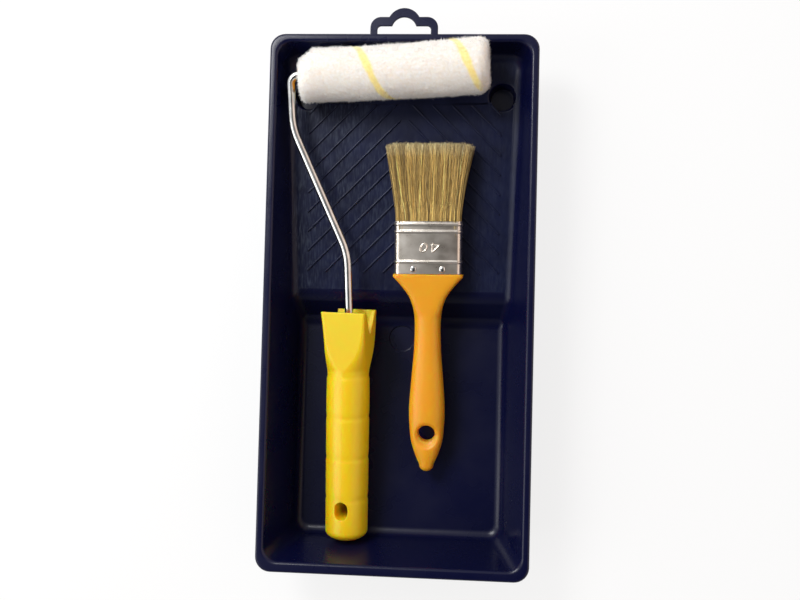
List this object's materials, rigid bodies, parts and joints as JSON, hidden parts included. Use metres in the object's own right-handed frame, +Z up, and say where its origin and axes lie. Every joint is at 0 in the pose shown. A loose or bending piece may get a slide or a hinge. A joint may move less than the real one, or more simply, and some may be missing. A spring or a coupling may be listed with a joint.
{
  "type": "paint tray set with mini roller and flat brush",
  "caption": "Moulded paint tray with a ribbed ramp and hang tab, holding a wire-frame mini roller with a striped pile sleeve and a flat bristle brush.",
  "frame": {"origin": "centre of the whole set's box in plan, on the plane that the tray stands on", "axes": "+Z up; +Y along the tray from the well towards the ramp and the hang tab; +X to the right"},
  "size_m": [0.156, 0.3258, 0.0665],
  "materials": {
    "tray": "moulded polypropylene, dark navy, semi-gloss with fine scuffs",
    "roller_handle": "moulded polypropylene, yellow, satin",
    "wire_frame": "drawn 5 mm wire, zinc plated",
    "end_retainer": "pressed spring steel, zinc plated",
    "core_tube": "extruded polypropylene, natural",
    "nap_sleeve": "knitted polyacrylic pile, off-white with a yellow stripe",
    "inner_bearing": "moulded, orange-yellow",
    "outer_bearing": "moulded, orange-yellow",
    "brush_handle": "moulded, amber, glossy",
    "ferrule": "pressed tinplate, bright",
    "nail_front_left": "bright wire nail",
    "nail_front_right": "bright wire nail",
    "nail_back_left": "bright wire nail",
    "nail_back_right": "bright wire nail",
    "bristles_front": "natural hog bristle with pale flagged tips",
    "bristles_back": "natural hog bristle with pale flagged tips",
    "resin_set": "cast epoxy",
    "spacer_plug": "plain wooden wedge"
  },
  "bodies": {
    "tray": {"tray": "tray"},
    "roller_frame": {"roller_handle": "roller_handle", "wire_frame": "wire_frame", "end_retainer": "end_retainer"},
    "roller_cover": {"core_tube": "core_tube", "nap_sleeve": "nap_sleeve", "inner_bearing": "inner_bearing", "outer_bearing": "outer_bearing"},
    "brush": {"brush_handle": "brush_handle", "ferrule": "ferrule", "nail_front_left": "nail_front_left", "nail_front_right": "nail_front_right", "nail_back_left": "nail_back_left", "nail_back_right": "nail_back_right", "bristles_front": "bristles_front", "bristles_back": "bristles_back", "resin_set": "resin_set", "spacer_plug": "spacer_plug"}
  },
  "joints": [
    {"name": "roller_lift", "type": "slide", "parent": "tray", "child": "roller_frame", "axis": [0, 0, 1], "range_m": [0, 0.08]},
    {"name": "roller_spin", "type": "hinge", "parent": "roller_frame", "child": "roller_cover", "pos_m": [-0.06015, 0.12406, 0.04406], "axis": [0.9967, 0.0446, 0.068], "continuous": true},
    {"name": "brush_lift", "type": "slide", "parent": "tray", "child": "brush", "axis": [0, 0, 1], "range_m": [0, 0.08]}
  ]
}
